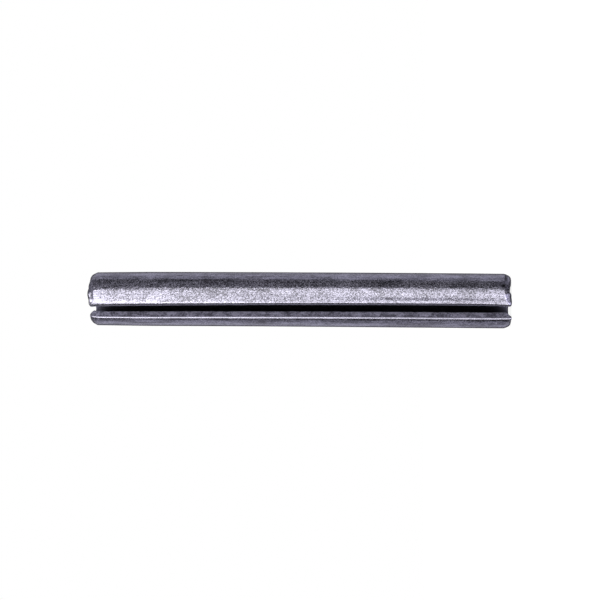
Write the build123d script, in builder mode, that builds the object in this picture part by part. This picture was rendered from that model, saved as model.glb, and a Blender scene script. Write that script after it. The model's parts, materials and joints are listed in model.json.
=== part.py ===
from build123d import *
from math import cos, hypot, radians, sin, sqrt
import os

# Slotted spring pin for a 1/4 inch hole, 2 inches long, in its free state.
# One strip of spring steel is rolled round until its two long edges face each other.
# The pin stands along Z with its bevelled tail on the surface z = 0 and its nose,
# which is drawn in and enters the hole first, on top. The slot faces -Y.

# Driving dimensions, in millimetres and degrees
pin_length = 50.8
free_diameter = 6.58
wall = 1.22

# Slot between the strip's two long edges, which open outwards. Its width and its offset
# towards +X are those half way up. From the tail to the nose it wanders towards -X and
# narrows a little. The skew turns both faces, so that the +X one slants more.
slot_width = 1.68
slot_offset = 0.055
slot_wander = 0.293
slot_narrowing = 0.134
slot_flare = 31.3
slot_skew = 3.0
lip_radius = 0.27

# Nose: a bevel with softened edges, and a slight draw towards it
nose_bevel_length = 0.80
nose_bevel_depth = 0.38
nose_shoulder_radius = 0.50
nose_rim_radius = 0.60
nose_draw = 0.06
nose_draw_length = 7.0

# Tail: a bevel with softened edges, and a shorter draw
tail_bevel_length = 0.75
tail_bevel_depth = 0.33
tail_shoulder_radius = 0.80
tail_rim_radius = 0.55
tail_draw = 0.01
tail_draw_length = 3.5

# Small bevel round the bore at both ends
bore_bevel = 0.15

# How far the block that opens the slot reaches past the pin
cutter_margin = 1.0

# Places worked out from the dimensions
free_radius = free_diameter / 2
bore_radius = free_radius - wall
nose_shoulder = free_radius - nose_draw
nose_face_radius = nose_shoulder - nose_bevel_depth
tail_shoulder = free_radius - tail_draw
tail_face_radius = tail_shoulder - tail_bevel_depth

# Roundings stay inside the wall that they are cut into
nose_rounding = min(nose_rim_radius, 0.9 * (nose_face_radius - bore_radius - bore_bevel))
lip_rounding = min(lip_radius, 0.4 * wall)

# The slot's width is measured where its two faces would meet the full diameter
mouth_depth = sqrt(free_radius**2 - (slot_width / 2) ** 2)


def slot_face(side):
    """Plane of the slot's face on the +X or -X side, with its normal towards the slot."""
    face_flare = radians(slot_flare / 2 + side * slot_skew)
    nose_shift = -slot_wander - side * slot_narrowing / 2
    along = Vector(nose_shift, 0, pin_length)
    outwards = Vector(side * sin(face_flare), -cos(face_flare), 0)
    return Plane(
        origin=(slot_offset + side * slot_width / 2, -mouth_depth, pin_length / 2),
        x_dir=along,
        z_dir=along.cross(outwards) * -side,
    )


def distance_from_axis(edge):
    """How far the middle of an edge lies from the pin's axis."""
    middle = edge @ 0.5
    return hypot(middle.X, middle.Y)


# The space that the slot leaves: a block in front of the axis, between the slot's faces
with BuildPart() as slot_space:
    with BuildSketch(Plane.XZ):
        with Locations((0, pin_length / 2)):
            Rectangle(free_diameter, pin_length + 2 * cutter_margin)
    extrude(amount=free_radius + cutter_margin)
    split(bisect_by=slot_face(+1), keep=Keep.TOP)
    split(bisect_by=slot_face(-1), keep=Keep.TOP)

with BuildPart() as spring_pin:
    # Half section of the tube, drawn up from its tail and turned once round the axis
    with BuildSketch(Plane.XZ) as wall_section:
        with BuildLine():
            shank = Line(
                (free_radius, tail_draw_length),
                (free_radius, pin_length - nose_draw_length),
            )
            nose_drawn = TangentArc(
                shank @ 1,
                (nose_shoulder, pin_length - nose_bevel_length),
                tangent=shank % 1,
            )
            nose_bevel = Line(nose_drawn @ 1, (nose_face_radius, pin_length))
            nose_face = Line(nose_bevel @ 1, (bore_radius, pin_length))
            bore = Line(nose_face @ 1, (bore_radius, 0))
            tail_face = Line(bore @ 1, (tail_face_radius, 0))
            tail_bevel = Line(tail_face @ 1, (tail_shoulder, tail_bevel_length))
            tail_drawn = TangentArc(
                shank @ 0,
                tail_bevel @ 1,
                tangent=(shank % 0) * -1,
            )
        make_face()
        chamfer(wall_section.vertices().sort_by_distance(bore @ 0)[0], bore_bevel)
        chamfer(wall_section.vertices().sort_by_distance(bore @ 1)[0], bore_bevel)
        fillet(wall_section.vertices().sort_by_distance(nose_bevel @ 0)[0], nose_shoulder_radius)
        fillet(wall_section.vertices().sort_by_distance(nose_bevel @ 1)[0], nose_rounding)
        fillet(wall_section.vertices().sort_by_distance(tail_bevel @ 0)[0], tail_rim_radius)
        fillet(wall_section.vertices().sort_by_distance(tail_bevel @ 1)[0], tail_shoulder_radius)
    revolve(axis=Axis.Z)

    # Open the slot and round the outer edges of its two lips, over the ends as well
    add(slot_space.part, mode=Mode.SUBTRACT)
    lips = spring_pin.faces().filter_by(GeomType.PLANE).sort_by(SortBy.AREA)[-2:]
    outer_edges = lips.edges().filter_by(
        lambda edge: distance_from_axis(edge) > bore_radius + bore_bevel
    )
    fillet(outer_edges, lip_rounding)

spring_pin.part.label = "spring_pin"

os.makedirs("parts", exist_ok=True)
export_step(spring_pin.part, "parts/spring_pin.step")
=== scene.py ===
import json
from bisect import bisect_left
from math import asin, atan2, cos, exp, hypot, pi, radians, sin, sqrt, tan, tau

import bmesh
import bpy
from bpy.props import FloatProperty, FloatVectorProperty, IntProperty, PointerProperty
from mathutils import Matrix, Vector, noise


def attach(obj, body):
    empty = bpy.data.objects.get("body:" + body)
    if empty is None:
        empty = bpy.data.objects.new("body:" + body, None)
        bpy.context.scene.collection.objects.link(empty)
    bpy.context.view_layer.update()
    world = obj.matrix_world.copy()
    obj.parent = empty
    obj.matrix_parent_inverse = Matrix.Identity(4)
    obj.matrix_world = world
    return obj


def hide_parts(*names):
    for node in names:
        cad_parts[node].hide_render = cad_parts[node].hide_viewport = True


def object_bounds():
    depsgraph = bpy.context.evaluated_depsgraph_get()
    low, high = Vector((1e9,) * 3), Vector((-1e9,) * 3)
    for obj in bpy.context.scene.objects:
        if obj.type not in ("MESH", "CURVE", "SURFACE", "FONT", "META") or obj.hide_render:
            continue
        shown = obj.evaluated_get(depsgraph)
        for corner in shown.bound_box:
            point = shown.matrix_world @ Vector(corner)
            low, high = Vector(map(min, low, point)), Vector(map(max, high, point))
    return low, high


bl_info = {
    "name": "Slotted Spring Pin",
    "version": (1, 0, 0),
    "blender": (4, 5, 0),
    "location": "3D View > Sidebar > Spring Pin",
    "description": "Rolls a slotted spring pin from strip steel and sets it up in a small studio",
    "category": "Add Mesh",
}

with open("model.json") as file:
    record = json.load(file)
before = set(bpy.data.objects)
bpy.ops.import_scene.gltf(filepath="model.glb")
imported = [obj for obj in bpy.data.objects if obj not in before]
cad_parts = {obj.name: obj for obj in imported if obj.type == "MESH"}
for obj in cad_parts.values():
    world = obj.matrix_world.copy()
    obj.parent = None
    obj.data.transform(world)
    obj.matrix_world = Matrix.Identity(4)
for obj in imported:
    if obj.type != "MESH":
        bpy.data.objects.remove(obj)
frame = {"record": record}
CAD_LOW, CAD_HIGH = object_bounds()
MOUNTS = {mount["name"]: mount for mount in frame["record"]["mounts"]}

MM = 0.001
PIN_LENGTH = CAD_HIGH.z - CAD_LOW.z
FREE_RADIUS = MOUNTS["shank"]["dims"]["r_mm"] * MM
BORE_RADIUS = MOUNTS["bore"]["dims"]["r_mm"] * MM


# ---------------------------------------------------------------- settings

def length(name, default, description):
    return FloatProperty(name=name, description=description, default=default,
                         unit="LENGTH", precision=5)


def angle(name, degrees, description):
    return FloatProperty(name=name, description=description, default=radians(degrees),
                         unit="ROTATION")


def colour(name, default, description):
    return FloatVectorProperty(name=name, description=description, default=default, size=3,
                               subtype="COLOR", min=0.0, max=1.0)


def number(name, default, description):
    return FloatProperty(name=name, description=description, default=default, precision=4)


def count(name, default, description):
    return IntProperty(name=name, description=description, default=default, min=1)


class PinSizes(bpy.types.PropertyGroup):
    """Real sizes of the pin."""

    pin_length: length("Length", PIN_LENGTH, "From the tail's end to the nose")
    free_radius: length("Free Radius", FREE_RADIUS, "Radius of the shank before it is driven in")
    bore_radius: length("Bore Radius", BORE_RADIUS, "Radius of the bore")
    slot_width: length("Slot Width", 1.725 * MM, "Gap between the lips near the tail")
    slot_flare: angle("Slot Flare", 31.3, "Angle between the slot's two faces")
    slot_skew: angle("Slot Skew", 3.0, "How far the slot's faces are turned towards +X")
    slot_lean: length("Slot Lean", 0.1525 * MM, "How far the slot is off -Y near the tail")
    slot_wander: length("Slot Wander", 0.293 * MM, "Sideways drift of the slot from tail to nose")
    slot_narrowing: length("Slot Narrowing", 0.134 * MM, "How much the slot closes to the nose")
    lip_radius: length("Lip Radius", 0.27 * MM, "Rounding of the strip's long edges outside")
    inner_lip_radius: length("Inner Lip Radius", 0.05 * MM, "Rounding of its long edges inside")
    lip_curl: length("Lip Curl", 0.12 * MM, "How far the lips lean in at both ends")
    lip_wobble: length("Lip Wobble", 0.012 * MM, "How far the long edges stray")
    nose_bevel_length: length("Nose Bevel Length", 0.80 * MM, "Height of the bevel at the nose")
    nose_bevel_depth: length("Nose Bevel Depth", 0.38 * MM, "Depth of the bevel at the nose")
    nose_shoulder_radius: length("Nose Shoulder", 0.50 * MM, "Rounding between bevel and shank")
    nose_rim_radius: length("Nose Rim", 0.60 * MM, "Rounding between bevel and end")
    nose_draw: length("Nose Draw", 0.06 * MM, "How much thinner the pin is at the nose")
    nose_draw_length: length("Nose Draw Length", 7.0 * MM, "Stretch over which the nose draws in")
    tail_bevel_length: length("Tail Bevel Length", 0.75 * MM, "Height of the bevel at the tail")
    tail_bevel_depth: length("Tail Bevel Depth", 0.33 * MM, "Depth of the bevel at the tail")
    tail_shoulder_radius: length("Tail Shoulder", 0.80 * MM, "Rounding between bevel and shank")
    tail_rim_radius: length("Tail Rim", 0.55 * MM, "Rounding between bevel and end")
    tail_draw: length("Tail Draw", 0.01 * MM, "How much thinner the pin is at the tail")
    tail_draw_length: length("Tail Draw Length", 3.5 * MM, "Stretch over which the tail draws in")
    bore_bevel: length("Bore Bevel", 0.15 * MM, "Bevel round both mouths of the bore")
    bow: length("Bow", 0.05 * MM, "How far the middle stands off a straight line")
    bow_way: angle("Bow Direction", 118.3, "Angle round from -Y to the bowed side")
    relief: length("Relief", 0.004 * MM, "Depth of the slow unevenness of the rolled strip")
    rim_relief: length("Rim Relief", 0.03 * MM, "Unevenness of the sheared ends")
    nose_lip_fade: number("Nose Lip Fade", 0.4, "Share of the nose's bevel left at the slot")
    tail_lip_fade: number("Tail Lip Fade", 0.25, "Share of the tail's bevel left at the slot")
    fade_angle: angle("Fade Angle", 18, "Angle from the slot to an end's full shape")
    columns: count("Columns", 220, "Faces round the pin")
    rows: count("Rows", 110, "Faces along the pin")
    end_row: length("End Row", 0.1 * MM, "Length of the faces near the ends")


class SteelFinish(bpy.types.PropertyGroup):
    """Colours and texture of the steel."""

    steel: colour("Steel", (0.215, 0.208, 0.268), "Mean colour of the bare steel")
    sheared: colour("Sheared Steel", (0.213, 0.206, 0.284), "Mean colour of the strip's cut edges")
    metallic: number("Metallic", 0.82, "Share of bare metal under the thin grey skin")
    roughness: number("Roughness", 0.18, "Mean roughness")
    oil: number("Oil", 0.6, "Share of the surface under a thin film of oil")
    oil_roughness: number("Oil Roughness", 0.12, "Roughness of the film of oil")
    grain_size: length("Grain Size", 0.17 * MM, "Width of the grains of the skin")
    grain_contrast: number("Grain Contrast", 0.85, "How much the grains differ in brightness")
    grain_depth: length("Grain Depth", 0.0105 * MM, "Depth of the grains")


class StudioSetup(bpy.types.PropertyGroup):
    """Camera, floor and soft light."""

    view_azimuth: angle("View Azimuth", 28.3, "Camera's direction round the pin, from the slot")
    view_distance: length("View Distance", 193 * MM, "Camera's distance from the pin's axis")
    view_height: length("View Height", 11.7 * MM, "Camera's height above the floor")
    view_roll: angle("View Roll", 0.33, "Camera's turn about its own line of sight")
    aim_height: length("Aim Height", 25.285 * MM, "Height of the point that the camera looks at")
    aim_side: length("Aim Side", -0.038 * MM, "How far the camera's aim is off the axis")
    lens: number("Lens", 96.02, "Focal length in millimetres")
    key_level: number("Key Level", 1.5, "Brightness of the large soft light")
    nose_level: number("Nose Level", 0.9, "Extra brightness of the part that the nose faces")
    slot_level: number("Slot Level", 1.2, "Extra brightness of its edge beside the slot")
    top_level: number("Top Level", 4.0, "Brightness of the soft light above the nose")
    backdrop_level: number("Backdrop Level", 0.535, "Brightness of the grey card behind the pin")
    fill_level: number("Fill Level", 0.8, "Brightness of the room's own light")


# ---------------------------------------------------------------- shader nodes

class Field:
    """A shader socket that takes part in arithmetic. Each operator adds one Math node."""

    def __init__(self, shader, socket):
        self.shader = shader
        self.socket = socket

    def maths(self, operation, *values):
        return self.shader.add("ShaderNodeMath", {"operation": operation}, values)

    def __add__(self, other):
        return self.maths("ADD", self, other)

    def __sub__(self, other):
        return self.maths("SUBTRACT", self, other)

    def __mul__(self, other):
        return self.maths("MULTIPLY", self, other)

    def __radd__(self, other):
        return self.maths("ADD", other, self)

    def __rsub__(self, other):
        return self.maths("SUBTRACT", other, self)

    def __rmul__(self, other):
        return self.maths("MULTIPLY", other, self)

    def clamped(self, low=0.0, high=1.0):
        return self.shader.add("ShaderNodeClamp", {}, {"Value": self, "Min": low, "Max": high})


class Shader:
    """The node tree of one material or world."""

    def __init__(self, owner):
        owner.use_nodes = True
        self.tree = owner.node_tree
        self.tree.nodes.clear()

    def add(self, kind, settings=None, sockets=None, output=0):
        """Adds a node: its settings first, then its sockets by name or in order."""
        node = self.tree.nodes.new(kind)
        for name, value in (settings or {}).items():
            setattr(node, name, value)
        pairs = sockets.items() if isinstance(sockets, dict) else enumerate(sockets or ())
        for key, value in pairs:
            if isinstance(value, Field):
                self.tree.links.new(value.socket, node.inputs[key])
            else:
                node.inputs[key].default_value = value
        return Field(self, node.outputs[output]) if node.outputs else None

    def noise(self, place, size, detail=2.0, roughness=0.5, distortion=0.0):
        """Noise from -0.5 to 0.5 with features about this size."""
        sockets = {"Vector": place, "Scale": 1.0 / size, "Detail": detail,
                   "Roughness": roughness, "Distortion": distortion}
        return self.add("ShaderNodeTexNoise", {}, sockets) - 0.5

    def mix(self, factor, first, second):
        """Mixes two colours. Plain colours are set on the sockets."""
        sockets = {"Factor": factor, 6: first, 7: second}
        return self.add("ShaderNodeMix", {"data_type": "RGBA"}, sockets, output=2)


def rgba(values, factor=1.0):
    return tuple(min(value * factor, 1.0) for value in values) + (1.0,)


# What each point of the skin knows: its depth in the wall, its distance from the ends' daylight
# (for the bore's painted shade), its wear and painted highlight, its darkening, and how strong the
# drawn lines are
MARKS = ("depth", "gloom", "wear_and_highlight", "darkened", "drawn")


def steel_material(finish):
    """Drawn and sheared spring steel: grain, streaks, darkened spots, painted light, shade and
    highlights, and a thin film of oil.
    """
    material = bpy.data.materials.new("spring_steel_skin")
    shader = Shader(material)
    place = shader.add("ShaderNodeTexCoord", output="Object")
    depth, gloom, wear_and_highlight, darkened, drawn = (
        shader.add("ShaderNodeAttribute", {"attribute_name": name}, output=2) for name in MARKS)
    bore = ((depth - 0.9) * 10.0).clamped()
    edge_face = ((depth - 0.12) * 8.0).clamped() * (1.0 - bore)
    grain = shader.noise(place, finish.grain_size, detail=1.0, roughness=0.6, distortion=0.2)
    facets = shader.noise(place, finish.grain_size * 1.6, detail=1.5, roughness=0.6, distortion=0.3)
    mottle = shader.noise(place, 0.9 * MM, detail=3.0, roughness=0.6)
    cloud = shader.noise(place, 3.5 * MM, detail=2.0)
    stretched = shader.add("ShaderNodeMapping", {}, {"Vector": place, "Scale": (1.0, 1.0, 0.1)})
    streaks = shader.noise(stretched, 0.4 * MM, detail=2.0)
    speckles = grain * (finish.grain_contrast * 4) * (1.0 - drawn * 0.6)
    bright = (0.5 + speckles + mottle * 1.2 + cloud * 1.1 + streaks * (0.3 + drawn * 1.8)).clamped()
    skin = shader.mix(bright, rgba(finish.steel, 0.4), rgba(finish.steel, 1.6))
    # Painted highlight: the rubbed lips and the highlight spots turn a paler steel.
    skin = shader.mix(wear_and_highlight * 0.8, skin, rgba(finish.steel, 1.55))
    # Darkened spots, and the painted shade on the nose's rim, turn the steel nearly black.
    skin = shader.mix(darkened, skin, rgba(finish.steel, 0.05))
    # Painted light: besides mottle and grain, the strip's cut faces are painted lighter towards the
    # bore.
    lightness = 0.5 + mottle * 3.0 + grain * 2.5 + (depth - 0.65) * 0.9
    sheared = shader.mix(lightness.clamped(), rgba(finish.sheared, 0.4), rgba(finish.sheared, 1.8))
    # Painted shade: the bore runs from a pale cut-steel tone at its mouths to near black deep
    # inside, where the ends' daylight doesn't reach.
    painted_bore_shade = shader.mix(gloom, rgba(finish.sheared, 1.3), rgba(finish.steel, 0.13))
    base = shader.mix(bore, shader.mix(edge_face, skin, sheared), painted_bore_shade)
    roughness = finish.roughness - grain * 0.3 - mottle * 0.15
    roughness = roughness + edge_face * 0.25 + bore * 0.3 - wear_and_highlight * 0.06 + darkened * 0.9
    roughness = roughness.clamped(0.1, 1.0)
    metallic = (finish.metallic - grain * (1.0 - wear_and_highlight) * 0.8 - edge_face * 0.6 + darkened).clamped()
    height = (facets * 2.0 + grain * 0.6) * (1.0 - wear_and_highlight)
    bump = shader.add("ShaderNodeBump", {},
                      {"Strength": 1.0, "Distance": finish.grain_depth, "Height": height})
    principled = shader.add("ShaderNodeBsdfPrincipled", {}, {
        "Base Color": base, "Metallic": metallic, "Roughness": roughness, "Normal": bump,
        "Coat Weight": (1.0 - darkened) * finish.oil, "Coat Roughness": finish.oil_roughness})
    shader.add("ShaderNodeOutputMaterial", {}, {"Surface": principled})
    return material


# ---------------------------------------------------------------- the pin

# Where the sheared ends fall short: degrees round from the slot, spread in degrees, and depth
NOSE_GAPS = (
    (8, 7, 0.40 * MM), (22, 10, 0.18 * MM), (56, 5, 0.07 * MM), (80, 20, 0.10 * MM),
    (-15, 8, 0.24 * MM), (-28, 8, 0.13 * MM), (-50, 14, 0.13 * MM), (248, 20, 0.24 * MM),
)
TAIL_GAPS = (
    (13, 5, 0.27 * MM), (38, 5, 0.05 * MM), (54, 7, 0.16 * MM), (68, 15, 0.17 * MM),
    (238, 30, 0.17 * MM),
)
# The same, but deepest at the bore
INNER_NOSE_GAPS = ((-14, 10, 0.33 * MM),)
INNER_TAIL_GAPS = ((-14, 10, 0.62 * MM),)

# Dents: height, degrees round from the slot, half-length along the pin, half-width and depth
DENTS = (
    (PIN_LENGTH - 0.20 * MM, 48, 0.10 * MM, 0.10 * MM, 0.09 * MM),
    (PIN_LENGTH - 1.10 * MM, 59, 0.12 * MM, 0.12 * MM, 0.03 * MM),
    (PIN_LENGTH - 0.90 * MM, 51, 0.10 * MM, 0.10 * MM, 0.02 * MM),
    (PIN_LENGTH - 1.95 * MM, 60, 0.12 * MM, 0.12 * MM, 0.025 * MM),
    (PIN_LENGTH - 2.3 * MM, 55, 0.14 * MM, 0.14 * MM, 0.03 * MM),
    (1.08 * MM, 43, 0.12 * MM, 0.12 * MM, 0.06 * MM),
    (1.35 * MM, 30, 0.25 * MM, 0.18 * MM, 0.03 * MM),
)
# Painted highlights, as paler and smoother steel on the nose's bright patch and along a streak down
# the tail's bevel: height, degrees round from the slot, half-length, half-width and strength
PAINTED_HIGHLIGHTS = (
    (PIN_LENGTH - 1.5 * MM, 30, 0.6 * MM, 0.8 * MM, 0.9),
    (PIN_LENGTH - 0.9 * MM, 40, 0.35 * MM, 0.8 * MM, 0.8),
    (0.98 * MM, 39, 0.12 * MM, 0.15 * MM, 1.0),
    (0.78 * MM, 34, 0.12 * MM, 0.15 * MM, 1.0),
    (0.58 * MM, 29, 0.12 * MM, 0.15 * MM, 1.0),
    (0.38 * MM, 23, 0.13 * MM, 0.15 * MM, 1.0),
    (0.25 * MM, 19, 0.13 * MM, 0.15 * MM, 1.0),
    (0.36 * MM, 92, 0.10 * MM, 0.80 * MM, 0.6),
)
# Darkened spots: height, degrees round from the slot, half-length, half-width and strength. The
# broad, faint one near the tail is painted shade over the tail's dark band.
DARKENED_SPOTS = (
    (PIN_LENGTH - 0.12 * MM, -8, 0.12 * MM, 0.15 * MM, 0.8),
    (0.67 * MM, 90, 0.12 * MM, 0.90 * MM, 0.8),
    (PIN_LENGTH - 0.68 * MM, 36, 0.10 * MM, 0.45 * MM, 0.7),
    (PIN_LENGTH - 0.40 * MM, 19, 0.14 * MM, 0.18 * MM, 0.8),
    (PIN_LENGTH - 1.83 * MM, 39, 0.09 * MM, 0.09 * MM, 0.8),
    (PIN_LENGTH - 1.73 * MM, 31, 0.09 * MM, 0.09 * MM, 0.9),
    (PIN_LENGTH - 2.65 * MM, 39, 0.10 * MM, 0.10 * MM, 0.8),
    (1.08 * MM, 43, 0.12 * MM, 0.12 * MM, 0.9),
    (0.95 * MM, 61, 0.40 * MM, 0.32 * MM, 0.8),
    (1.2 * MM, 63, 0.9 * MM, 0.45 * MM, 0.35),
)
END_REACH = 2.5 * MM            # how far an uneven end is felt along the pin
LIP_PINCH = 0.16 * MM           # how far the -X lip is pressed in at the nose
PINCH = (-22, 20)               # and where: degrees round from the slot, and spread
PLAIN_SIDE = (38, 28)           # where the drawn lines don't show
RIM_SHADE = (33, 20)            # where a painted shade darkens the nose's rim
RIM_SHADE_REACH = 0.25 * MM
RIM_SHADE_LEVEL = 1.6
RUB_AND_HIGHLIGHT_START = 1.0 * MM           # the lips' rubbing and painted highlight start this far from the nose
GLOOM_REACH = 0.6 * MM          # daylight reaches this far into the bore
SHARP_ANGLE = radians(32)
TINY = 1e-6


def rounded_outline(corners, steps=10):
    """Points of an open outline of (height, radius) corners, each rounded by its own radius."""
    points = [Vector(corners[0][:2])]
    for before, corner, after in zip(corners, corners[1:], corners[2:]):
        middle = Vector(corner[:2])
        back = (Vector(before[:2]) - middle).normalized()
        ahead = (Vector(after[:2]) - middle).normalized()
        half_turn = (pi - back.angle(ahead)) / 2
        if corner[2] == 0:
            points.append(middle)
            continue
        centre = middle + (back + ahead).normalized() * (corner[2] / cos(half_turn))
        first = middle + back * (corner[2] * tan(half_turn)) - centre
        turn = first.angle_signed(middle + ahead * (corner[2] * tan(half_turn)) - centre)
        for step in range(steps + 1):
            arm = first.copy()
            arm.rotate(Matrix.Rotation(-turn * step / steps, 2))
            points.append(centre + arm)
    points.append(Vector(corners[-1][:2]))
    return points


class Wall:
    """Section of the pin's wall: the outer radius and the bore's radius at any height."""

    def __init__(self, sizes):
        self.sizes = sizes
        shoulder = sizes.free_radius - sizes.tail_draw
        rim = sizes.free_radius - sizes.nose_draw
        mouth = sizes.bore_radius + sizes.bore_bevel
        self.outline = rounded_outline([
            (0, mouth, 0),
            (0, shoulder - sizes.tail_bevel_depth, sizes.tail_rim_radius),
            (sizes.tail_bevel_length, shoulder, sizes.tail_shoulder_radius),
            (sizes.tail_bevel_length + sizes.tail_draw_length, sizes.free_radius, 0),
            (sizes.pin_length - sizes.nose_draw_length, sizes.free_radius, 0),
            (sizes.pin_length - sizes.nose_bevel_length, rim, sizes.nose_shoulder_radius),
            (sizes.pin_length, rim - sizes.nose_bevel_depth, sizes.nose_rim_radius),
            (sizes.pin_length, mouth, 0),
        ])[1:-1]
        self.heights = [point.x for point in self.outline]
        self.tail_end = sizes.tail_bevel_length + sizes.tail_shoulder_radius
        self.nose_start = sizes.pin_length - sizes.nose_bevel_length - sizes.nose_shoulder_radius

    def outer(self, height):
        """Outer radius, read off the outline between its points."""
        after = min(max(bisect_left(self.heights, height), 1), len(self.heights) - 1)
        low, high = self.outline[after - 1], self.outline[after]
        share = (height - low.x) / (high.x - low.x) if high.x > low.x else 1.0
        return low.y + (high.y - low.y) * min(max(share, 0.0), 1.0)

    def bore(self, height):
        from_end = min(height, self.sizes.pin_length - height)
        return self.sizes.bore_radius + max(0.0, self.sizes.bore_bevel - from_end)

    def rows(self):
        """Heights of the rows of faces: the outline's own points and even steps between them."""
        sizes = self.sizes
        start, end = self.tail_end, self.nose_start
        own = [h for h in self.heights if h < start or h > end]
        own += [sizes.bore_bevel, sizes.pin_length - sizes.bore_bevel]
        close = [sizes.end_row * step for step in range(1, int(END_REACH / sizes.end_row))]
        close += [sizes.pin_length - h for h in close]
        even = [sizes.pin_length * step / sizes.rows for step in range(1, sizes.rows)]
        even = [h for h in even if END_REACH < h < sizes.pin_length - END_REACH]
        heights = sorted(set(own + even + [h for h in close if start < h < end]))
        return [h for h, after in zip(heights, heights[1:]) if after - h > TINY] + [heights[-1]]


def slot_angle(sizes, side, radius, height):
    """Angle round the axis from -Y to the slot's face on the +X side (1) or the -X side (-1)."""
    flare = sizes.slot_flare / 2 + side * sizes.slot_skew
    mouth_depth = sqrt(sizes.free_radius ** 2 - (sizes.slot_width / 2) ** 2)
    bend = (height / sizes.pin_length) ** 2
    drift = side * sizes.slot_lean - (side * sizes.slot_wander + sizes.slot_narrowing / 2) * bend
    from_end = min(height, sizes.pin_length - height)
    drift -= (0.8 + 0.2 * side) * sizes.lip_curl * exp(-from_end / (2.0 * MM))
    offset = cos(flare) * (sizes.slot_width / 2 + drift) - sin(flare) * mouth_depth
    return flare + asin(offset / radius)


def ripple(place, size, seed):
    """Smooth noise from about -1 to 1 with features of this size."""
    return noise.noise(Vector(place) / size + Vector((seed, 2.7 * seed, 0.5)))


def angle_between(turn, other):
    return (turn - other + pi) % tau - pi


def around(turn, at, spread, power=2):
    """1 at an angle round from the slot, fading to 0 past the spread, both in degrees."""
    return exp(-(angle_between(turn, radians(at)) / radians(spread)) ** power)


def gap_depth(gaps, turn):
    """How far an end falls short at this angle round from the slot."""
    return sum(depth * around(turn, at, spread) for at, spread, depth in gaps)


def spots(table, turn, height):
    """Sum of a table's dents or marks at this angle round from the slot and this height."""
    total = 0.0
    for at, degrees, half_length, half_width, depth in table:
        along = (height - at) / half_length
        across = angle_between(turn, radians(degrees)) * FREE_RADIUS / half_width
        if abs(along) < 3 and abs(across) < 3:
            total += depth * exp(-along ** 2 - across ** 2)
    return total


def faded(sizes, wall, height, from_lip):
    """Height and outer radius where the rounding and bevel of the ends shrink towards the slot."""
    share = min(from_lip / sizes.fade_angle, 1.0)
    share = share * share * (3 - 2 * share)
    if height < wall.tail_end:
        scale = sizes.tail_lip_fade + (1 - sizes.tail_lip_fade) * share
        full = wall.outer(wall.tail_end)
        return height * scale, full - (full - wall.outer(height)) * scale
    if height > wall.nose_start:
        scale = sizes.nose_lip_fade + (1 - sizes.nose_lip_fade) * share
        full = wall.outer(wall.nose_start)
        return (sizes.pin_length - (sizes.pin_length - height) * scale,
                full - (full - wall.outer(height)) * scale)
    return height, wall.outer(height)


def flat_section(mesh, sizes, half_gap):
    """The pin's cross-section at z = 0: one line across the wall, spun round to the other lip."""
    rung = [mesh.verts.new((radius * sin(half_gap), -radius * cos(half_gap), 0.0))
            for radius in (sizes.bore_radius, sizes.free_radius)]
    last = rung + [mesh.edges.new(rung)]
    lip_arc = 1.1 * sizes.lip_radius / sizes.free_radius
    for arc, steps in ((lip_arc, 1), (tau - 2 * (half_gap + lip_arc), sizes.columns), (lip_arc, 1)):
        spun = bmesh.ops.spin(mesh, geom=last, cent=(0, 0, 0), axis=(0, 0, 1), angle=arc,
                              steps=steps, use_merge=False)
        last = spun["geom_last"]


def upright_edges(mesh, radius=None, near_slot=None):
    """Edges along Z, and of those only the ones at a radius and within an angle of the slot."""
    found = []
    for edge in mesh.edges:
        low, high = (vert.co for vert in edge.verts)
        if abs(low.z - high.z) < TINY:
            continue
        turn = abs(atan2(low.x, -low.y))
        if radius is None or (abs(hypot(low.x, low.y) - radius) < TINY and turn < near_slot):
            found.append(edge)
    return found


def rolled_tube(sizes, heights):
    """A closed tube with a slot and rounded lips, straight all along, cut into rows."""
    half_gap = slot_angle(sizes, 1, sizes.free_radius, sizes.pin_length / 2)
    mesh = bmesh.new()
    flat_section(mesh, sizes, half_gap)
    raised = bmesh.ops.extrude_face_region(mesh, geom=mesh.faces[:])
    tops = [item for item in raised["geom"] if isinstance(item, bmesh.types.BMVert)]
    bmesh.ops.translate(mesh, verts=tops, vec=(0, 0, 1.0))
    margin = 0.3 * sizes.lip_radius / sizes.free_radius
    for radius, rounding, segments in ((sizes.free_radius, sizes.lip_radius, 6),
                                       (sizes.bore_radius, sizes.inner_lip_radius, 3)):
        lips = upright_edges(mesh, radius, half_gap + margin)
        bmesh.ops.bevel(mesh, geom=lips, offset=rounding, segments=segments, profile=0.5,
                        affect="EDGES", material=-1, clamp_overlap=True)
    bmesh.ops.subdivide_edges(mesh, edges=upright_edges(mesh), cuts=len(heights) - 2,
                              use_grid_fill=True)
    return mesh, half_gap


def lip_turns(sizes, radius, height):
    """Angles from -Y to both of the slot's faces, with their slight wobble."""
    wobble = sizes.lip_wobble / sizes.free_radius
    return (slot_angle(sizes, 1, radius, height) + wobble * ripple((0, 0, height), 1.1 * MM, 3.0),
            slot_angle(sizes, -1, radius, height) + wobble * ripple((0, 0, height), 1.1 * MM, 8.0))


def lip_rub_and_highlight(sizes, height, outwards, from_lip, first_side):
    """How far the strip's long edges are rubbed and painted with a highlight, more on the +X side
    of the slot.
    """
    width = 1.3 * sizes.lip_radius / sizes.free_radius * (1.5 if first_side else 0.9)
    rub_and_highlight = max(0.0, 1 - from_lip / width) * min(outwards * 2, 1.0)
    return rub_and_highlight * min(max(sizes.pin_length - height, 0.0) / RUB_AND_HIGHLIGHT_START, 1.0)


def darkening(sizes, turn, height):
    """How far the steel is darkened, in single spots and by a painted shade along the nose's rim.
    """
    rim = max(0.0, 1 - (sizes.pin_length - height) / RIM_SHADE_REACH) * RIM_SHADE_LEVEL
    return min(spots(DARKENED_SPOTS, turn, height) + rim * around(turn, *RIM_SHADE, power=4), 1.0)


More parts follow.
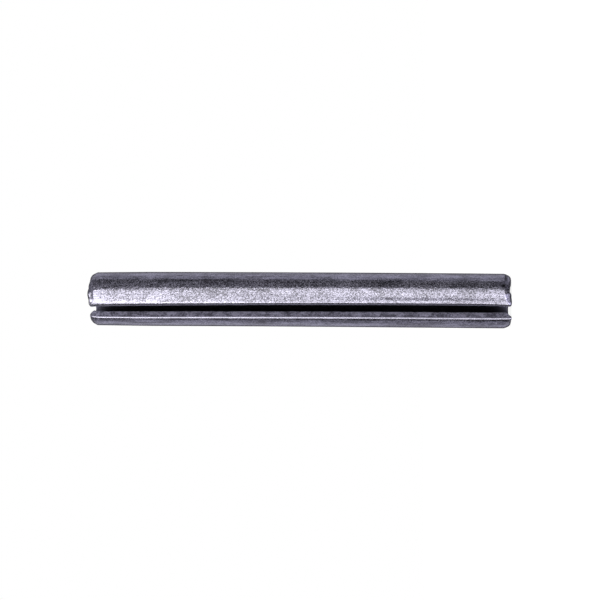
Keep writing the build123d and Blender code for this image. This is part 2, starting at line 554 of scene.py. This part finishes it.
def pressed(sizes, turn, height, outwards):
    """How far the skin lies below the plain radius, in slow relief and in dents."""
    way = Vector((sin(turn), -cos(turn), 0.0)) * sizes.free_radius
    slow = ripple(way + Vector((0, 0, height * 0.5)), 2.5 * MM, 5.0)
    return (sizes.relief * (0.5 + slow) + spots(DENTS, turn, height)) * outwards


def uneven_end(sizes, turn, height, outwards):
    """Height where the sheared ends fall short, and how far the nose's lip is pressed in."""
    near_nose = max(0.0, 1 - (sizes.pin_length - height) / END_REACH) ** 2
    near_tail = max(0.0, 1 - height / END_REACH) ** 2
    way = Vector((sin(turn), -cos(turn), 0.0))
    rim = sizes.rim_relief * ripple(way * sizes.free_radius, 0.9 * MM, 11.0)
    inwards = 1 - outwards
    height -= near_nose * (gap_depth(NOSE_GAPS, turn) + max(rim, 0.0))
    height -= near_nose * gap_depth(INNER_NOSE_GAPS, turn) * inwards ** 1.5
    height += near_tail * (gap_depth(TAIL_GAPS, turn) + max(-rim, 0.0))
    height += near_tail * gap_depth(INNER_TAIL_GAPS, turn) * inwards ** 3
    return height, LIP_PINCH * around(turn, *PINCH) * near_nose * near_nose


def build_pin(sizes):
    """The rolled pin as a bmesh, with its ends shaped, its slot set and its relief pressed in."""
    wall = Wall(sizes)
    heights = wall.rows()
    mesh, half_gap = rolled_tube(sizes, heights)
    depth, gloom, wear_and_highlight, darkened, drawn = (mesh.verts.layers.float.new(name) for name in MARKS)
    strip_turn = tau - 2 * half_gap
    bow_way = Vector((sin(sizes.bow_way), -cos(sizes.bow_way), 0.0))
    for vert in mesh.verts:
        height = heights[round(vert.co.z * (len(heights) - 1))]
        radius = hypot(vert.co.x, vert.co.y)
        outwards = min((radius - sizes.bore_radius) / (sizes.free_radius - sizes.bore_radius), 1.0)
        round_way = (atan2(vert.co.x, -vert.co.y) % tau - half_gap) / strip_turn
        from_lip = min(round_way, 1 - round_way) * strip_turn
        vert[depth] = 1.0 - outwards
        # Distance from the ends' daylight, which sets the bore's painted shade
        vert[gloom] = 1.0 - exp(-min(height, sizes.pin_length - height) / GLOOM_REACH)
        height, outer = faded(sizes, wall, height, from_lip)
        radius = wall.bore(height) * (1 - outwards) + outer * outwards
        flat_radius = sizes.bore_radius * (1 - outwards) + sizes.free_radius * outwards
        first, last = lip_turns(sizes, flat_radius, height)
        turn = first + round_way * (tau - first - last)
        # Rubbed lips with a painted highlight, and the painted highlight spots
        rub_and_highlight = lip_rub_and_highlight(sizes, height, outwards, from_lip, round_way < 0.5)
        vert[wear_and_highlight] = min(rub_and_highlight + spots(PAINTED_HIGHLIGHTS, turn, height), 1.0)
        vert[drawn] = 1.0 - around(turn, *PLAIN_SIDE, power=4)
        # Darkened spots and the nose rim's painted shade
        vert[darkened] = darkening(sizes, turn, height)
        radius -= pressed(sizes, turn, height, outwards)
        height, pinch = uneven_end(sizes, turn, height, outwards)
        share = height / sizes.pin_length
        bow = bow_way * sizes.bow * (4 * share * (1 - share) - 0.6)
        way = Vector((sin(turn), -cos(turn), 0.0))
        vert.co = way * (radius - pinch) + bow + Vector((0, 0, height))
    bmesh.ops.recalc_face_normals(mesh, faces=mesh.faces)
    for face in mesh.faces:
        face.smooth = True
    for edge in mesh.edges:
        edge.smooth = edge.calc_face_angle(0.0) < SHARP_ANGLE
    return mesh


class SPRINGPIN_OT_roll(bpy.types.Operator):
    """Roll the spring pin and give it its steel"""

    bl_idname = "spring_pin.roll"
    bl_label = "Roll Spring Pin"

    def execute(self, context):
        sizes = context.scene.pin_sizes
        mesh = build_pin(sizes)
        open_edges = [edge for edge in mesh.edges if not edge.is_manifold]
        if open_edges:
            raise RuntimeError(f"the pin's mesh has {len(open_edges)} open edges")
        data = bpy.data.meshes.new("rolled_spring_pin")
        mesh.to_mesh(data)
        mesh.free()
        piece = bpy.data.objects.new("rolled_spring_pin", data)
        context.collection.objects.link(piece)
        data.materials.append(steel_material(context.scene.steel_finish))
        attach(piece, "root")
        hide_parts("spring_pin")
        return {"FINISHED"}


# ---------------------------------------------------------------- the studio

def compass(degrees_from_view, studio):
    """Level direction from the pin, turned from the camera's towards the upper side of its view."""
    turn = studio.view_azimuth + radians(degrees_from_view)
    return Vector((sin(turn), -cos(turn), 0.0))


def aim(place, target, right):
    """Placement of a lamp or camera at a place, looking at a target, with this way to its right."""
    ahead = (Vector(target) - Vector(place)).normalized()
    right = (Vector(right) - ahead * ahead.dot(Vector(right))).normalized()
    turned = Matrix((right, right.cross(ahead), -ahead)).transposed()
    return Matrix.Translation(place) @ turned.to_4x4()


def add_object(context, name, data, placement=Matrix.Identity(4)):
    thing = bpy.data.objects.new(name, data)
    thing.matrix_world = placement
    context.collection.objects.link(thing)
    return thing


def add_camera(context, studio):
    lens = bpy.data.cameras.new("camera")
    lens.lens = studio.lens
    lens.sensor_width = 36.0
    lens.clip_start = 0.01
    lens.clip_end = 10.0
    place = compass(0, studio) * studio.view_distance + Vector((0, 0, studio.view_height))
    target = compass(90, studio) * studio.aim_side + Vector((0, 0, studio.aim_height))
    placement = aim(place, target, (0, 0, -1)) @ Matrix.Rotation(studio.view_roll, 4, "Z")
    context.scene.camera = add_object(context, "camera", lens, placement)


WARM_WHITE = (1.0, 0.99, 0.93)
COOL_GREY = (0.885, 0.87, 1.0)


def add_soft_light(context, name, place, target, width, height, level):
    """A flat soft light whose face has this brightness, where 1 is white."""
    lamp = bpy.data.lights.new(name, "AREA")
    lamp.shape = "RECTANGLE"
    lamp.size = width
    lamp.size_y = height
    lamp.energy = level * width * height * pi
    lamp.color = WARM_WHITE
    add_object(context, name, lamp, aim(place, target, Vector(place).cross((0, 0, -1))))


def glowing(name, level):
    """A plain material of this brightness, where 1 is white."""
    material = bpy.data.materials.new(name)
    shader = Shader(material)
    glow = shader.add("ShaderNodeEmission", {}, {"Color": rgba(COOL_GREY), "Strength": level})
    shader.add("ShaderNodeOutputMaterial", {}, {"Surface": glow})
    return material


def add_card(context, name, mesh, level):
    """Stands a card in the studio that is seen only in the pin's reflections."""
    data = bpy.data.meshes.new(name)
    mesh.to_mesh(data)
    mesh.free()
    data.materials.append(glowing(name, level))
    card = add_object(context, name, data)
    card.visible_camera = False
    card.visible_diffuse = False
    card.visible_shadow = False
    card.visible_transmission = False


def wall_card(studio, start, end, low, high, slant=0.0, radius=0.3):
    """A curved card round the pin between two bearings, in degrees from the camera's.

    Slant is how many degrees its first side leans back per metre of height."""
    mesh = bmesh.new()
    bmesh.ops.create_grid(mesh, x_segments=48, y_segments=12, size=1.0)
    for vert in mesh.verts:
        share, height = (vert.co.x + 1) / 2, low + (high - low) * (vert.co.y + 1) / 2
        bearing = start + (end - start) * share - slant * (1 - share) * (height - 0.055)
        vert.co = compass(bearing, studio) * radius + Vector((0, 0, height))
    return mesh


def disc_card(height, radius=0.3, centre=Vector((0, 0, 0))):
    """A level round card."""
    mesh = bmesh.new()
    bmesh.ops.create_circle(mesh, cap_ends=True, segments=96, radius=radius)
    bmesh.ops.translate(mesh, verts=mesh.verts, vec=centre + Vector((0, 0, height)))
    return mesh


def hood_card(studio, radius=0.018):
    """A disc where the camera stands."""
    mesh = bmesh.new()
    bmesh.ops.create_circle(mesh, cap_ends=True, segments=48, radius=radius)
    place = compass(4, studio) * (studio.view_distance + 0.005) + Vector((0, 0, 0.008))
    bmesh.ops.transform(mesh, verts=mesh.verts, matrix=aim(place, (0, 0, place.z), (0, 0, -1)))
    return mesh


def add_floor(context):
    """Pale paper under the pin. Seen directly, it glows, and a lit share keeps the pin's shadow."""
    mesh = bmesh.new()
    bmesh.ops.create_circle(mesh, cap_ends=True, segments=96, radius=1.2)
    data = bpy.data.meshes.new("floor")
    mesh.to_mesh(data)
    mesh.free()
    material = bpy.data.materials.new("floor_paper")
    shader = Shader(material)
    paper = shader.add("ShaderNodeBsdfDiffuse", {}, {"Color": rgba((0.86,) * 3)})
    dim_paper = shader.add("ShaderNodeBsdfDiffuse", {}, {"Color": rgba((0.2,) * 3)})
    glow = shader.add("ShaderNodeEmission", {}, {"Color": rgba((0.88,) * 3), "Strength": 1.0})
    both = shader.add("ShaderNodeAddShader", {}, [dim_paper, glow])
    seen = seen_directly(shader)
    surface = shader.add("ShaderNodeMixShader", {}, [seen, paper, both])
    shader.add("ShaderNodeOutputMaterial", {}, {"Surface": surface})
    data.materials.append(material)
    floor = add_object(context, "floor", data)
    floor.visible_glossy = False


def seen_directly(shader):
    """1 for what the camera sees, straight or in metal or glass."""
    rays = shader.tree.nodes.new("ShaderNodeLightPath")
    seen = [Field(shader, rays.outputs[name])
            for name in ("Is Camera Ray", "Is Glossy Ray", "Is Transmission Ray")]
    return (seen[0] + seen[1] + seen[2]).clamped()


def set_world(context, studio):
    world = bpy.data.worlds.new("room")
    context.scene.world = world
    shader = Shader(world)
    level = seen_directly(shader) * (1.0 - studio.fill_level) + studio.fill_level
    room = shader.add("ShaderNodeBackground", {}, {"Color": rgba((1, 1, 1)), "Strength": level})
    shader.add("ShaderNodeOutputWorld", {}, {"Surface": room})


KEY_DISTANCE = 0.35
KEY_SLANT = 90.0       # how far the key light's upper side leans, in degrees per metre of height
KEY_START = -19        # bearing of its lower side, in degrees from the camera's
TUBE_SPACING = 68 / 7  # degrees from one of its tubes to the next
TUBE_FILL = 0.44       # share of the key light's face that its tubes fill
TUBE_JOINT = 0.02      # height at which a tube's upper part meets its lower part
TUBE_FOOT = -0.12
# The key light's upright tubes: top, and relative brightness of the upper and lower part
KEY_TUBES = (
    (0.23, 1.28, 1.32), (0.23, 1.05, 1.03), (0.23, 0.94, 0.80), (0.23, 0.98, 0.94),
    (0.23, 1.27, 1.14), (0.17, 1.20, 0.86), (0.095, 1.00, 0.61),
)

class SPRINGPIN_OT_studio(bpy.types.Operator):
    """Set up the camera, the floor and the soft light"""

    bl_idname = "spring_pin.studio"
    bl_label = "Set Up Studio"

    def light(self, context, studio):
        lamps = [   # name, bearing and half-angle in degrees, middle height, length and level
            ("nose_light", -1, 18, 0.15, 0.15, studio.nose_level),
            ("tip_light", -1, 18, 0.18, 0.12, studio.nose_level),
            ("slot_light", -13.5, 5.5, 0.145, 0.16, studio.slot_level),
            ("lip_light", -23.5, 4.5, 0.165, 0.17, studio.slot_level),
        ]
        for tube, (top, upper, lower) in enumerate(KEY_TUBES):
            bearing = KEY_START + TUBE_SPACING * (tube + 0.5)
            level = studio.key_level / TUBE_FILL
            for part, start, end, share in (("upper", TUBE_JOINT, top, upper),
                                            ("lower", TUBE_FOOT, TUBE_JOINT, lower)):
                lamps.append((f"{part}_tube_{tube + 1}", bearing, TUBE_SPACING * TUBE_FILL / 2,
                              (start + end) / 2, end - start, level * share))
        for name, bearing, half_angle, height, tall, level in lamps:
            lift = Vector((0, 0, height))
            add_soft_light(context, name, compass(bearing, studio) * KEY_DISTANCE + lift, lift,
                           2 * KEY_DISTANCE * tan(radians(half_angle)), tall, level)
        above = compass(20, studio) * 0.095 + Vector((0, 0, 0.28))
        add_soft_light(context, "top_light", above, above - Vector((0, 0, 1)), 0.07, 0.13,
                       studio.top_level)
        low, key_low, key_high, high = -0.3, -0.107, 0.193, 0.3
        cards = (   # name, bearings of both sides, lowest and highest point, slant and level
            ("upper_shade", 49, 78, 0.045, high, KEY_SLANT, 0.13),
            ("upper_shade_tail", 51, 78, low, 0.045, 30, 0.04),
            ("deep_shade", 78, 94, low, high, 0, 0.04),
            ("lower_shade", -19, -95, 0.055, high, KEY_SLANT, 0.02),
            ("lower_shade_tail", -19, -95, low, 0.055, 0, 0.02),
            ("tail_glow", -19, 24, -0.26, key_low, 0, 5.0),
            ("under_glow", -19, 24, low, -0.26, 0, 0.8),
            ("under_key", 24, 49, low, key_low, 0, 0.1),
            ("over_key", -19, 49, key_high, high, 0, 1.0),
            ("upper_backdrop", 94, 115, low, high, 0, studio.backdrop_level * 0.97),
            ("upper_rear", 115, 145, low, high, 0, studio.backdrop_level * 1.07),
            ("rear", 145, 215, low, high, 0, studio.backdrop_level * 0.25),
            ("lower_rear", 215, 245, 0.03, high, 0, studio.backdrop_level * 1.28),
            ("lower_rear_tail", 215, 245, low, 0.03, 0, studio.backdrop_level * 1.1),
            ("lower_backdrop", 245, 265, 0.03, high, 0, studio.backdrop_level),
            ("lower_backdrop_tail", 245, 265, low, 0.03, 0, studio.backdrop_level * 0.86),
        )
        for name, start, end, bottom, top, slant, level in cards:
            add_card(context, name, wall_card(studio, start, end, bottom, top, slant), level)
        add_card(context, "lens_hood", hood_card(studio), 0.3)
        add_card(context, "lid", disc_card(high), 0.2)
        front_lid = disc_card(high - 0.01, 0.125, compass(0, studio) * 0.17)
        add_card(context, "front_lid", front_lid, 0.6)
        add_card(context, "base", disc_card(low), 0.08)
        front_base = disc_card(low + 0.01, 0.125, compass(19, studio) * 0.22)
        add_card(context, "front_base", front_base, 1.7)

    def execute(self, context):
        studio = context.scene.pin_studio
        context.scene.view_settings.view_transform = "Standard"
        set_world(context, studio)
        add_floor(context)
        add_camera(context, studio)
        self.light(context, studio)
        return {"FINISHED"}


class SPRINGPIN_PT_panel(bpy.types.Panel):
    """Spring pin tools"""

    bl_label = "Spring Pin"
    bl_idname = "SPRINGPIN_PT_panel"
    bl_space_type = "VIEW_3D"
    bl_region_type = "UI"
    bl_category = "Spring Pin"

    def draw(self, context):
        layout = self.layout
        for operator, settings in ((SPRINGPIN_OT_roll, "pin_sizes"), (None, "steel_finish"),
                                   (SPRINGPIN_OT_studio, "pin_studio")):
            box = layout.box()
            group = getattr(context.scene, settings)
            for name in group.__annotations__:
                box.prop(group, name)
            if operator:
                box.operator(operator.bl_idname)


GROUPS = {"pin_sizes": PinSizes, "steel_finish": SteelFinish, "pin_studio": StudioSetup}
CLASSES = (*GROUPS.values(), SPRINGPIN_OT_roll, SPRINGPIN_OT_studio, SPRINGPIN_PT_panel)


def register():
    for cls in CLASSES:
        bpy.utils.register_class(cls)
    for name, group in GROUPS.items():
        setattr(bpy.types.Scene, name, PointerProperty(type=group))


def unregister():
    for name in GROUPS:
        delattr(bpy.types.Scene, name)
    for cls in reversed(CLASSES):
        bpy.utils.unregister_class(cls)


def main():
    register()
    bpy.ops.spring_pin.roll()
    bpy.ops.spring_pin.studio()


if __name__ == "__main__":
    main()
